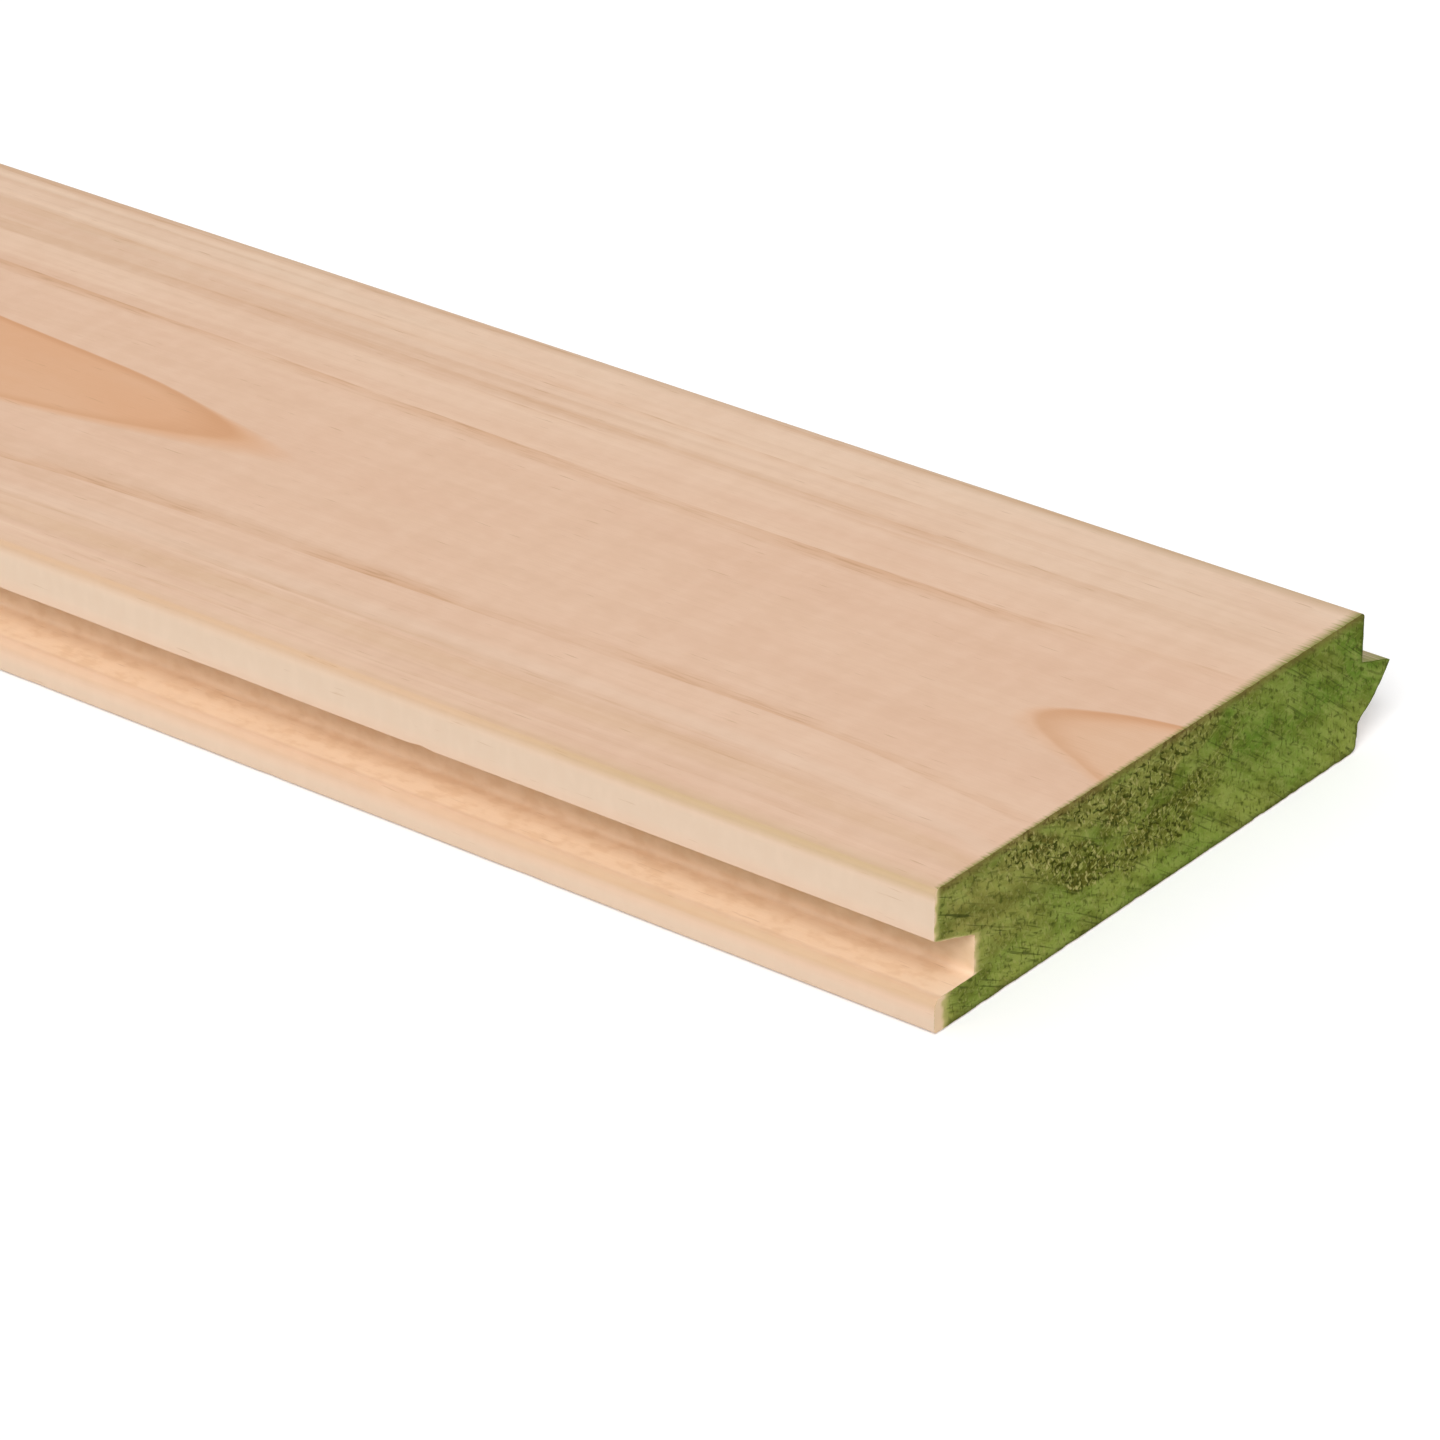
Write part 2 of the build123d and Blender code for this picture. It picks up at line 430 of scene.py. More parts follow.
def sawn_end(groove_side, tongue_side, pith_rise, seed):
    """Grid over a sawn end, straight across between the two sides of the section, with the marks of the cut.

    The blade swings about its centre, so its marks lie on arcs. Soft early wood tears out between the hard
    rings, most of all under the pith, and hard late wood is cut smooth. The rim is chipped."""

    def noise(name, across, along):
        width, height, own_seed = END_NOISE[name]
        return value_noise(across / width, along / height, seed + own_seed)

    share = np.linspace(0.0, 1.0, END_COLUMNS + 1)[None, :, None]
    grid = groove_side[:, None, :] * (1 - share) + tongue_side[:, None, :] * share
    side = grid[..., 0] - upper_lip_y
    depth = thickness - grid[..., 1]
    to_groove = side - side[:, :1]
    to_tongue = side[:, -1:] - side
    to_rim = np.min([to_groove, to_tongue, depth, thickness - depth], axis=0)
    blade = np.hypot(side - SAW_SIDE, depth - SAW_DEPTH)
    swing = SAW_RADIUS * np.arctan2(side - SAW_SIDE, SAW_DEPTH - depth)

    wobble = sum(height * noise(name, side, depth) for name, height in RING_WOBBLE.items())
    radius = np.hypot(side - PITH_SIDE, depth + pith_rise) + wobble
    ring = np.mod((radius - TORN_START) / RING_WIDTH, 1.0)
    under_pith = between(side, *TORN_SIDES) * (1 - ramp(radius, *TORN_RADII))
    patchy = 0.5 + 0.5 * noise("patch", side, depth)
    early = between(ring, *EARLY_WOOD) * (0.5 + 0.5 * patchy)
    soft = SOFT_PATCHES * patchy + (1 - SOFT_PATCHES) * early
    soft *= SOFT_ELSEWHERE + (1 - SOFT_ELSEWHERE) * under_pith

    tears = sum(height * noise(name, blade, swing) for name, height in TEARS.items())
    torn = (HARD_TORN + (1 - HARD_TORN) * soft) * ramp(tears, *TEAR_LEVELS)
    arcs = blade / SAW_PITCH + SAW_DRIFT * noise("arc_drift", blade, swing)
    swell = 0.5 + 0.5 * np.sin(2 * np.pi * arcs)
    relief = CUT_DEPTH + ARC_DEPTH * swell + TEAR_DEPTH * torn + SOFT_DEPTH * soft
    relief = np.minimum(relief, RIM_DEPTH + RIM_SLOPE * to_rim)
    chipped = ramp(noise("chip", side, depth), *CHIP_LEVELS)
    relief += CHIP_DEPTH * chipped * np.exp(-((to_rim / CHIP_REACH) ** 2))
    return grid, relief, {"torn": torn, "soft": soft, "swing": swing, "blade": blade, "to_tongue": to_tongue}


def paint_cover(grid):
    """Share of paint on the sawn end: full inside, and falling off in a ragged margin of bare wood along the
    lips and the groove, widest on the lower lip."""
    height = grid[..., 1]
    to_groove = grid[..., 0] - grid[:, :1, 0]
    ragged = COVER_RAG * value_noise(grid[..., 0] / COVER_RAG_SIZE, height / COVER_RAG_SIZE, COVER_SEED)
    on_upper_lip = ramp(height, inner_cheek_z, mouth_z)
    on_lower_lip = 1 - ramp(height, LOWER_LIP + LOWER_LIP_FADE[0], LOWER_LIP + LOWER_LIP_FADE[1])
    margin = MARGIN[0] + MARGIN[1] * on_upper_lip + MARGIN[2] * on_lower_lip
    fade = MARGIN_FADE[0] + MARGIN_FADE[1] * on_upper_lip + MARGIN_FADE[2] * on_lower_lip
    return ramp(to_groove + ragged, margin + COVER_START, margin + fade)


def board_stations():
    """Places along the board from the painted end to the bare one: close at both cuts, then even steps over
    the near stretch and longer even ones over the rest."""
    near = np.arange(2 * NEAR_STATION, NEAR_LENGTH, NEAR_STATION)
    far = np.linspace(NEAR_LENGTH, length - 2 * NEAR_STATION, FAR_STATIONS)
    return painted_x - np.concatenate([[0.0], CUT_STATIONS, near, far, length - CUT_STATIONS[::-1], [length]])


def cells(grid):
    """Corners of the cells of a grid, each from a point to the next row, along it and back."""
    corners = [grid[:-1, :-1], grid[1:, :-1], grid[1:, 1:], grid[:-1, 1:]]
    return np.stack(corners, axis=2).reshape(-1, 4, *grid.shape[2:])


def rim_of(grid):
    """Rim of an end's grid, around the section as the loop runs and back to its first point."""
    return np.concatenate([grid[0], grid[1:, -1], grid[-1, -2::-1], grid[-2::-1, 0]])


def kept_on_rim():
    """Numbers of the rim's points that the coarser loop beside it has too: some along the walking face and
    the underside, and all those down the sides."""
    rows = sum(SIDE_ROWS)
    step = END_COLUMNS // FACE_COLUMNS
    return np.concatenate([
        np.arange(0, END_COLUMNS + 1, step),
        END_COLUMNS + np.arange(1, rows + 1),
        END_COLUMNS + rows + np.arange(step, END_COLUMNS + 1, step),
        2 * END_COLUMNS + rows + np.arange(1, rows),
    ])


def stitches(kept, rim_count):
    """Triangles between an end's fine rim and the coarser loop beside it, which keeps some of its points.
    Each step of the rim goes to the nearer of the two loop points that it lies between, and each step of
    the loop to the rim's point half way. The rim is numbered first, and both come round to their start."""
    ends = np.append(kept, rim_count)
    rim = np.arange(rim_count)
    loop = np.arange(len(kept))
    half_way = (ends[:-1] + ends[1:]) // 2
    step = np.searchsorted(kept, rim, side="right") - 1
    nearer = step + (rim >= half_way[step])
    loop_from = rim_count + 1
    from_rim = np.stack([rim, rim + 1, loop_from + nearer], axis=1)
    from_loop = np.stack([half_way, loop_from + loop + 1, loop_from + loop], axis=1)
    return np.concatenate([from_rim, from_loop])


def on_skin_map(x, around):
    """Place on the bake map of the long skin: its length across, and its way around from the bottom up."""
    across = BAKE_MARGIN + (1 - 2 * BAKE_MARGIN) * (x - bare_x) / length
    return np.stack(np.broadcast_arrays(across, BAKE_MARGIN + BAKE_SKIN * around), axis=-1)


def on_end_map(grid, start):
    """Place on the bake map of a sawn end, laid out flat from a start in the top strip."""
    across = start + BAKE_END_WIDTH * (grid[..., 0] - upper_lip_y) / (tip_y - upper_lip_y)
    return np.stack([across, BAKE_ENDS_FROM + BAKE_ENDS_HEIGHT * grid[..., 1] / thickness], axis=-1)


def board_faces(stations, loops, painted_grid, bare_grid):
    """Faces of the board in groups, each with its places on the bake map and its finish: the long skin, the
    stitches at both ends of it, and the two sawn ends. Ways around are shares of the first loop."""
    end_count = painted_grid[..., 0].size
    skin_count = loops[..., 0].size
    painted_index = np.arange(end_count).reshape(painted_grid.shape[:2])
    bare_index = painted_index + end_count + skin_count
    skin_index = end_count + np.arange(skin_count).reshape(loops.shape[:2])
    skin_index = np.hstack([skin_index, skin_index[:, :1]])

    kept = kept_on_rim()
    rim_count = len(rim_of(painted_index)) - 1
    first_loop = np.concatenate([loops[0], loops[0, :1]])
    loop_way = np.concatenate([[0.0], np.cumsum(np.linalg.norm(np.diff(first_loop, axis=0), axis=1))])
    loop_way /= loop_way[-1]
    rim_way = np.interp(np.arange(rim_count + 1), np.append(kept, rim_count), loop_way)

    painted_ring = np.concatenate([rim_of(painted_index), skin_index[0]])
    painted_ring_map = np.concatenate([on_skin_map(stations[0], rim_way), on_skin_map(stations[1], loop_way)])
    bare_ring = np.concatenate([rim_of(bare_index), skin_index[-1]])
    bare_ring_map = np.concatenate([on_skin_map(stations[-1], rim_way), on_skin_map(stations[-2], loop_way)])
    triangles = stitches(kept, rim_count)
    turned = triangles[:, ::-1]
    skin_map = on_skin_map(stations[1:-1, None], loop_way[None, :])
    return [
        (cells(skin_index.T), cells(skin_map.swapaxes(0, 1)), PLANED),
        (painted_ring[triangles], painted_ring_map[triangles], PLANED),
        (bare_ring[turned], bare_ring_map[turned], PLANED),
        (cells(painted_index), cells(on_end_map(painted_grid, BAKE_MARGIN)), PAINTED),
        (cells(bare_index[:, ::-1]), cells(on_end_map(bare_grid, BAKE_BARE_FROM)[:, ::-1]), BARE),
    ]


def around_sides(groove, tongue):
    """Values around the loop from those at some rows of both sides: straight lines between them down the
    sides, and nothing on the two wide faces."""
    rows = np.arange(sum(SIDE_ROWS) + 1)
    groove_rows = np.interp(rows, *np.transpose(groove))
    tongue_rows = np.interp(rows, *np.transpose(tongue))
    face = np.zeros(FACE_COLUMNS - 1)
    return np.concatenate([groove_rows[:1], face, tongue_rows, face, groove_rows[:0:-1]])


def on_rim(around):
    """Values on an end's grid, where only the rim counts: those of the loop's sides at its first and last
    columns."""
    rows = sum(SIDE_ROWS) + 1
    values = np.zeros((rows, END_COLUMNS + 1))
    values[:, -1] = around[FACE_COLUMNS:FACE_COLUMNS + rows]
    values[0, 0] = around[0]
    values[1:, 0] = around[:-rows:-1]
    return values


def paint_reach(skin_shape, end_shape):
    """How far paint crept from the end, for points of the skin and of an end: a little all around, further
    over the walking face, most of all near the tongue, and far along the tongue's upper cheek."""
    cheek = slice(sum(SIDE_ROWS[:CHEEK_STRETCH]), sum(SIDE_ROWS[:CHEEK_STRETCH + 1]) + 1)
    skin_reach = np.full(skin_shape, PAINT_CREEP)
    end_reach = np.full(end_shape, PAINT_CREEP)
    skin_face = ramp(np.linspace(0.0, 1.0, FACE_COLUMNS + 1), *FACE_CREEP_GROWS)
    end_face = ramp(np.linspace(0.0, 1.0, END_COLUMNS + 1), *FACE_CREEP_GROWS)
    skin_reach[:, :FACE_COLUMNS + 1] = FACE_CREEP * (1 + skin_face)
    skin_reach[:, FACE_COLUMNS:][:, cheek] = CHEEK_CREEP
    end_reach[0] = FACE_CREEP * (1 + end_face)
    end_reach[cheek, -1] = CHEEK_CREEP
    return skin_reach, end_reach


def surface_values(skin_shape, painted_grid, painted_marks, bare_marks):
    """Values that the finishes read at every point, by name: for the painted end, the skin and the bare end
    in turn."""
    end_shape = painted_grid.shape[:2]
    on_skin = np.zeros(skin_shape)
    values = {name: (painted_marks[name], on_skin, bare_marks[name]) for name in painted_marks}
    values["cover"] = (paint_cover(painted_grid), on_skin, np.zeros(end_shape))
    skin_reach, end_reach = paint_reach(skin_shape, end_shape)
    values["reach"] = (end_reach, skin_reach, end_reach)
    for name, groove, tongue in (
        ("tone", GROOVE_TONE, TONGUE_TONE),
        ("warmth", GROOVE_WARMTH, TONGUE_WARMTH),
        ("handled_and_groove_shade", GROOVE_HANDLED_AND_SHADE, TONGUE_HANDLED),
    ):
        around = around_sides(groove, tongue)
        rim = on_rim(around)
        values[name] = (rim, np.broadcast_to(around, skin_shape), rim)
    return values


def planed_board():
    """The whole board as one closed skin: a grid over each sawn end, and the section's loop carried along the
    length between them, stitched to the rims of the ends."""
    stations = board_stations()
    groove_side = worn_side(groove_corners, GROOVE_EDGES, stations, 1.0, GROOVE_SEED)
    tongue_side = worn_side(tongue_corners, TONGUE_EDGES, stations, -1.0, TONGUE_SEED)
    loops = loop_around(groove_side, tongue_side)[1:-1]
    along = np.broadcast_to(stations[1:-1, None, None], (*loops.shape[:2], 1))
    skin = np.concatenate([along, loops], axis=2)

    bare_rise = PITH_RISE[0][1]
    painted_rise = PITH_RISE[-1][1]
    painted_grid, relief, painted_marks = sawn_end(groove_side[0], tongue_side[0], painted_rise, PAINTED_SEED)
    painted_end = np.dstack([painted_x - relief, painted_grid])
    bare_grid, relief, bare_marks = sawn_end(groove_side[-1], tongue_side[-1], bare_rise, BARE_SEED)
    bare_end = np.dstack([bare_x + relief, bare_grid])
    vertices = np.concatenate([points.reshape(-1, 3) for points in (painted_end, skin, bare_end)]) * METRE

    groups = board_faces(stations, loops, painted_grid, bare_grid)
    mesh = bpy.data.meshes.new("planed_board")
    mesh.from_pydata(vertices.tolist(), [], [face for faces, _, _ in groups for face in faces.tolist()])
    bake = mesh.uv_layers.new(name="OFBake")
    on_map = np.concatenate([places.ravel() for _, places, _ in groups])
    bake.uv.foreach_set("vector", on_map.astype(np.float32))
    finishes = np.concatenate([np.full(len(faces), finish) for faces, _, finish in groups])
    mesh.polygons.foreach_set("material_index", finishes.astype(np.int32))
    values = surface_values(loops.shape[:2], painted_grid, painted_marks, bare_marks)
    for name, parts in values.items():
        field = mesh.attributes.new(name, "FLOAT", "POINT")
        field.data.foreach_set("value", np.concatenate([part.ravel() for part in parts]).astype(np.float32))
    mesh.polygons.foreach_set("use_smooth", np.ones(len(mesh.polygons), dtype=bool))
    mesh.set_sharp_from_angle(angle=math.radians(SHARP_ANGLE))
    mesh.validate()
    return bpy.data.objects.new("planed_board", mesh)


def linear(colour):
    """Linear colour of an sRGB hex value: a share of 12.92 near black, and a power of 2.4 above."""
    values = np.array([int(colour[start:start + 2], 16) for start in (0, 2, 4)]) / 255.0
    light = np.where(values <= 0.04045, values / 12.92, ((values + 0.055) / 1.055) ** 2.4)
    return (*light.tolist(), 1.0)


def node(tree, kind, inputs, **settings):
    """Adds a shader node with its settings, and sets or links each input by name or number. A node that is
    given as an input gives the first output that it has in use."""
    made = tree.nodes.new("ShaderNode" + kind)
    for name, value in settings.items():
        setattr(made, name, value)
    for key, value in inputs.items():
        named = [socket for socket in made.inputs if socket.enabled and socket.name == key]
        socket = made.inputs[key] if isinstance(key, int) else named[0]
        if isinstance(value, bpy.types.Node):
            value = next(output for output in value.outputs if output.enabled)
        if isinstance(value, bpy.types.NodeSocket):
            tree.links.new(value, socket)
        else:
            socket.default_value = value
    return made


def new_material(name):
    """Material with no nodes yet, and its tree."""
    material = bpy.data.materials.new(name)
    material.use_nodes = True
    material.node_tree.nodes.clear()
    return material, material.node_tree


def place_in_wood(tree):
    """Place in the board in millimetres, whole and by its axes."""
    in_metres = node(tree, "TexCoord", {}).outputs["Object"]
    place = node(tree, "VectorMath", {0: in_metres, "Scale": 1 / METRE}, operation="SCALE")
    return place, node(tree, "SeparateXYZ", {0: place}).outputs


def blotches(tree, place, sizes):
    """Noise patterns by name, on a place in millimetres. The blotches of each are as long, wide and deep as
    its size, and turned in the plane by its angle in degrees."""
    made = {}
    for name, (size, angle, detail) in sizes.items():
        turn = (0.0, 0.0, math.radians(angle))
        inputs = {"Vector": place, "Rotation": turn, "Scale": size}
        laid = node(tree, "Mapping", inputs, vector_type="TEXTURE")
        made[name] = node(tree, "TexNoise", {"Vector": laid, "Scale": 1.0, "Detail": detail})
    return made


def tinted(tree, colour, patterns, layers):
    """Lays tints over a colour in turn: each layer names its pattern, the levels at which that starts and is
    full, the strength there, which may be a pattern too, and the tint."""
    for name, start, full, strength, tint in layers:
        share = node(tree, "MapRange", {
            "Value": patterns[name],
            "From Min": start,
            "From Max": full,
            "To Max": patterns.get(strength, strength),
        })
        colour = node(tree, "Mix", {"Factor": share, "A": colour, "B": linear(tint)}, data_type="RGBA")
    return colour


def put_on_surface(tree, patterns, colour, roughness, specular, bumps):
    """Gives a material its surface: a colour, how rough it is, how strong its sheen is, and its bumps."""
    name, strength, depth = bumps
    bump = node(tree, "Bump", {"Height": patterns[name], "Strength": strength, "Distance": depth * METRE})
    shader = node(tree, "BsdfPrincipled", {
        "Base Color": colour,
        "Roughness": roughness,
        "Specular IOR Level": specular,
        "Normal": bump,
    })
    node(tree, "OutputMaterial", {"Surface": shader})


def along_board(tree, share, levels):
    """Level that changes along the board, drawn as a smooth curve through some of its values."""
    curve = node(tree, "FloatCurve", {"Value": share})
    heights = [(at, (level - CURVE_LOWEST) / (CURVE_HIGHEST - CURVE_LOWEST)) for at, level in levels]
    points = curve.mapping.curves[0].points
    points[0].location = heights[0]
    points[1].location = heights[-1]
    for at, height in heights[1:-1]:
        points.new(at, height)
    curve.mapping.update()
    return node(tree, "MapRange", {"Value": curve, "To Min": CURVE_LOWEST, "To Max": CURVE_HIGHEST})


def growth_rings(tree, place, axes):
    """Distance from the pith, which rises, falls and drifts along the board. It goes through the wood, so
    that the rings run on from face to face."""
    share = node(tree, "MapRange", {"Value": axes["X"], "From Min": bare_x, "From Max": painted_x})
    beside = node(tree, "Math", {0: axes["Y"], 1: pith_y}, operation="SUBTRACT")
    beside = node(tree, "Math", {0: beside, 1: along_board(tree, share, PITH_DRIFT)}, operation="SUBTRACT")
    depth = node(tree, "Math", {0: thickness, 1: axes["Z"]}, operation="SUBTRACT")
    below = node(tree, "Math", {0: depth, 1: along_board(tree, share, PITH_RISE)}, operation="ADD")
    across = node(tree, "CombineXYZ", {0: beside, 1: below})
    distance = node(tree, "VectorMath", {0: across}, operation="LENGTH").outputs["Value"]
    wander = blotches(tree, place, WANDER)["wander"]
    wander = node(tree, "MapRange", {"Value": wander, "To Min": -WANDER_BY, "To Max": WANDER_BY})
    return node(tree, "Math", {0: distance, 1: wander}, operation="ADD")


def late_wood(tree, radius, start, full, edge, end, strength):
    """Share of late wood in one ring: it grows from its start to full, and falls off from the ring's edge to
    its end."""
    grown = node(tree, "MapRange", {"Value": radius, "From Min": start, "From Max": full, "To Max": strength})
    return node(tree, "MapRange", {
        "Value": radius,
        "From Min": edge,
        "From Max": end,
        "To Min": grown,
        "To Max": 0.0,
    })


def flame_patterns(tree, axes, radius, near_end, cloud):
    """Patterns of the innermost ring, which the walking face cuts along. Away from the painted end its late
    wood fills a broad flame, and at that end it is a loop, one arm of it faint. Inside lies the heart."""
    arm = node(tree, "MapRange", {
        "Value": axes["Y"],
        "From Min": FLAME_ARMS[0],
        "From Max": FLAME_ARMS[1],
        "To Min": FAINT_ARM,
    })
    at_end = node(tree, "MapRange", {"Value": arm, "From Min": FAINT_ARM, "To Min": 0.24, "To Max": 0.62})
    strength = node(tree, "Mix", {"Factor": near_end, "A": 0.9, "B": at_end})
    clouded = node(tree, "MapRange", {
        "Value": cloud,
        "From Min": 0.35,
        "From Max": 0.6,
        "To Min": node(tree, "Math", {0: strength, 1: 0.6}, operation="MULTIPLY"),
        "To Max": strength,
    })
    end = node(tree, "MapRange", {
        "Value": arm,
        "From Min": FAINT_ARM,
        "To Min": RING_START + FLAME_FADE,
        "To Max": RING_START + RING_EDGE,
    })
    start = node(tree, "Mix", {"Factor": near_end, "A": FLAME_FROM[0], "B": FLAME_FROM[1]})
    full = node(tree, "Mix", {"Factor": near_end, "A": FLAME_FULL[0], "B": FLAME_FULL[1]})
    heart = node(tree, "MapRange", {"Value": near_end, "To Min": 0.5, "To Max": 0.36})
    return {
        "flame": late_wood(tree, radius, start, full, RING_START, end, clouded),
        "heart": late_wood(tree, radius, *HEART_FROM, RING_START, end, heart),
        "flame_edge": late_wood(tree, radius, *FLAME_LINE, arm),
    }


def ring_patterns(tree, axes, radius, patterns, flat):
    """Patterns of the other rings, on the flat faces only: thin broken lines that fade towards the painted
    end, and a dull band with a pale one beside it near the groove."""
    lines = 0.0
    for edge, depth, strength in RING_LINES:
        line = late_wood(tree, radius, edge - depth, edge - RING_FULL, edge, edge + RING_EDGE, strength)
        lines = node(tree, "Math", {0: lines, 1: line}, operation="MAXIMUM")
    broken = node(tree, "MapRange", {
        "Value": patterns["patchy"],
        "From Min": 0.42,
        "From Max": 0.60,
        "To Min": 0.3,
    })
    fading = node(tree, "MapRange", {
        "Value": axes["X"],
        "From Min": painted_x - LINES_FADE[0],
        "From Max": painted_x - LINES_FADE[1],
        "To Min": 1.0,
        "To Max": 0.4,
    })
    broken = node(tree, "Math", {0: broken, 1: fading}, operation="MULTIPLY")
    broken = node(tree, "Math", {0: broken, 1: flat}, operation="MULTIPLY")
    line = node(tree, "Math", {0: lines, 1: broken}, operation="MULTIPLY")

    clouded = node(tree, "MapRange", {
        "Value": patterns["cloud"],
        "From Min": 0.35,
        "From Max": 0.6,
        "To Min": 0.2,
        "To Max": 0.7,
    })
    near_side = node(tree, "MapRange", {
        "Value": axes["Y"],
        "From Min": BAND_SIDE[0],
        "From Max": BAND_SIDE[1],
        "To Min": 0.12,
    })
    clouded = node(tree, "Math", {0: clouded, 1: near_side}, operation="MULTIPLY")
    clouded = node(tree, "Math", {0: clouded, 1: flat}, operation="MULTIPLY")
    return {
        "line": line,
        "core": node(tree, "Math", {0: line, 1: 0.55}, operation="MULTIPLY"),
        "olive": late_wood(tree, radius, *OLIVE_BAND, clouded),
        "pale": late_wood(tree, radius, *PALE_BAND, clouded),
    }


def strength_patterns(tree, axes, near_end, patterns, moulded):
    """Strengths of other patterns, by where they lie: streaks beside the pith, greened edges at the painted
    end, mottled wood in the groove, and the marks of the cutters on moulded edges and flat faces."""
    beside = node(tree, "Math", {0: axes["Y"], 1: pith_y}, operation="SUBTRACT")
    return {
        "outside": node(tree, "MapRange", {
            "Value": node(tree, "Math", {0: beside}, operation="ABSOLUTE"),
            "From Min": STREAKS_FROM[0],
            "From Max": STREAKS_FROM[1],
            "To Min": 0.1,
            "To Max": node(tree, "MapRange", {"Value": near_end, "To Min": 0.6, "To Max": 0.25}),
        }),
        "greened": node(tree, "MapRange", {
            "Value": axes["X"],
            "From Min": painted_x - GREENED_FROM[0],
            "From Max": painted_x - GREENED_FROM[1],
            "To Max": 0.34,
        }),
        "grooved": node(tree, "Math", {0: patterns["warmth"], 1: 0.22}, operation="MULTIPLY"),
        "rippled": node(tree, "Math", {0: moulded, 1: 0.06}, operation="MULTIPLY"),
        "knifed": node(tree, "MapRange", {
            "Value": moulded,
            "From Max": 0.3,
            "To Min": 0.065,
            "To Max": 0.02,
        }),
    }


def crept_paint(tree, axes, patterns):
    """Distance from the painted end, in shares of the paint's reach there, made ragged by the fibres."""
    from_end = node(tree, "Math", {0: painted_x, 1: axes["X"]}, operation="SUBTRACT")
    ragged = node(tree, "MapRange", {
        "Value": patterns["fibre"],
        "From Min": 0.3,
        "From Max": 0.7,
        "To Min": -0.4,
        "To Max": 0.4,
    })
    crept = node(tree, "Math", {0: from_end, 1: patterns["reach"]}, operation="DIVIDE")
    return node(tree, "Math", {0: crept, 1: ragged}, operation="ADD")


def planed_softwood():
    """Spruce, planed: pale and matt, with soft fibres, late wood as thin warm lines and flames, and faint
    knife marks across. The moulded edges are paler, the groove warmer, with painted shade under its upper
    lip, and the arrises soiled by handling."""
    material, tree = new_material("planed_softwood")
    place, axes = place_in_wood(tree)
    radius = growth_rings(tree, place, axes)
    patterns = blotches(tree, place, PLANED_PATTERNS)
    for name in PLANED_FIELDS:
        patterns[name] = node(tree, "Attribute", {}, attribute_name=name).outputs["Fac"]
    patterns["across"] = axes["Y"]
    near_end = node(tree, "MapRange", {
        "Value": axes["X"],
        "From Min": painted_x - FLAME_CHANGES[0],
        "From Max": painted_x - FLAME_CHANGES[1],
    })
    moulded = node(tree, "Math", {0: patterns["tone"], 1: patterns["warmth"]}, operation="MAXIMUM")
    flat = node(tree, "MapRange", {"Value": moulded, "From Max": 0.2, "To Min": 1.0, "To Max": 0.0})
    patterns |= flame_patterns(tree, axes, radius, near_end, patterns["cloud"])
    patterns |= ring_patterns(tree, axes, radius, patterns, flat)
    patterns |= strength_patterns(tree, axes, near_end, patterns, moulded)
    patterns["crept"] = crept_paint(tree, axes, patterns)

    wood = tinted(tree, linear("DEBA9F"), patterns, (
        ("across", 20.0, 48.0, 1.0, "DFC3AA"),
        ("across", -15.0, -45.0, 0.35, "E6C4AA"),
        ("streak", 0.50, 0.64, "outside", "CEAA8B"),
        ("streak", 0.50, 0.36, "outside", "E8CAB0"),
        ("band", 0.50, 0.64, "outside", "D8B499"),
        ("band", 0.50, 0.36, "outside", "E4C4AA"),
        ("olive", 0.0, 1.0, 0.7, "CCA67E"),
        ("pale", 0.0, 1.0, 0.45, "E8D0BA"),
        ("cloud", 0.45, 0.65, 0.25, "DAB297"),
        ("mottle", 0.50, 0.65, 0.09, "D0AB8E"),
        ("mottle", 0.50, 0.35, 0.09, "ECCFB8"),
        ("fibre", 0.50, 0.70, 0.08, "C8A080"),
        ("knife", 0.50, 0.62, "knifed", "D0AC90"),
        ("knife", 0.50, 0.38, "knifed", "EACDB6"),
        ("tone", 0.0, 1.0, 0.85, "D3BDA6"),
        ("warmth", 0.0, 1.0, 0.9, "EED2B3"),
        # Soil on the handled arrises, and painted shade in the groove under its upper lip
        ("handled_and_groove_shade", 0.0, 1.0, 0.6, "BE9A74"),
        ("handled_and_groove_shade", 0.0, 1.0, "greened", "AC9E6C"),
        ("mottle", 0.50, 0.62, "grooved", "CDA274"),
        ("mottle", 0.50, 0.38, "grooved", "F2D8BC"),
        ("heart", 0.0, 1.0, 1.0, "D9AA82"),
        ("flame", 0.0, 1.0, 1.0, "D8A47D"),
        ("flame_edge", 0.0, 1.0, 0.4, "BE8658"),
        ("line", 0.0, 1.0, 0.5, "C8986F"),
        ("dash", 0.50, 0.66, "core", "B48A64"),
        ("dash", 0.68, 0.76, 0.4, "B08A66"),
        ("ripple", 0.50, 0.65, "rippled", "D0AC90"),
        ("ripple", 0.50, 0.35, "rippled", "F0D6C0"),
        ("crept", 1.1, 0.0, 0.9, "908A46"),
        ("crept", 0.5, 0.0, 0.6, "6E7A2E"),
    ))
    rough = node(tree, "MapRange", {"Value": patterns["mottle"], "To Min": 0.6, "To Max": 0.75})
    put_on_surface(tree, patterns, wood, rough, 0.2, FIBRE_BUMPS)
    return material


